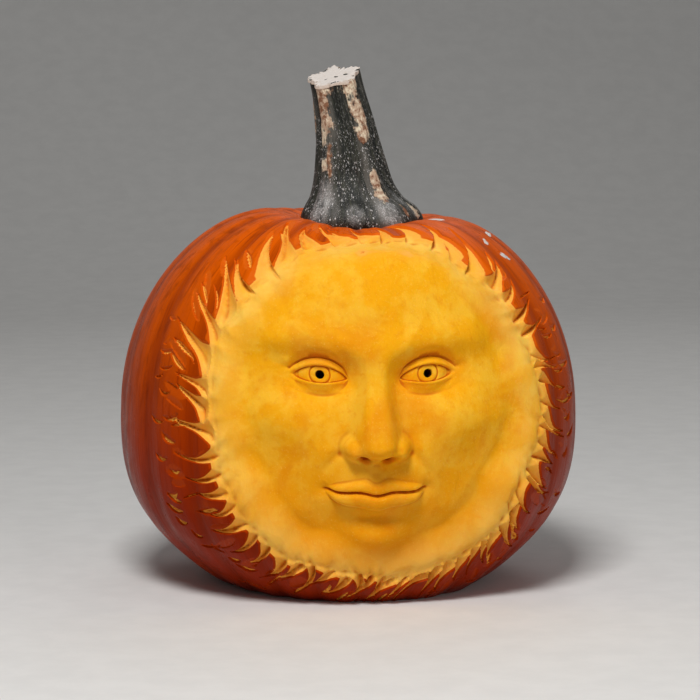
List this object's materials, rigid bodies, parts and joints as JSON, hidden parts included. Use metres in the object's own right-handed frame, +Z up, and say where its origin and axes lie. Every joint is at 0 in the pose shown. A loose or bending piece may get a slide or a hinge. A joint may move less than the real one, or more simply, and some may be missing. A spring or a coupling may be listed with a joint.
{
  "type": "carved pumpkin",
  "caption": "Whole round pumpkin with a tall ridged stem, carved at the front with a calm head in relief inside a flame-like cut rim.",
  "frame": {"origin": "on the surface it stands on, under the middle of its box", "axes": "+Z up along the pumpkin's height, the carved face looks along -Y, +X to the right as the face is seen from the front"},
  "size_m": [0.2802, 0.2724, 0.3164],
  "materials": {
    "rind": "waxy orange pumpkin skin with shallow ribs",
    "flesh": "moist cut yellow pumpkin flesh",
    "stem": "dry dark green, ridged and speckled, with tan corky patches",
    "stem_cut": "pale dry cut end"
  },
  "bodies": {
    "root": {"carved_pumpkin": "rind"}
  },
  "joints": []
}
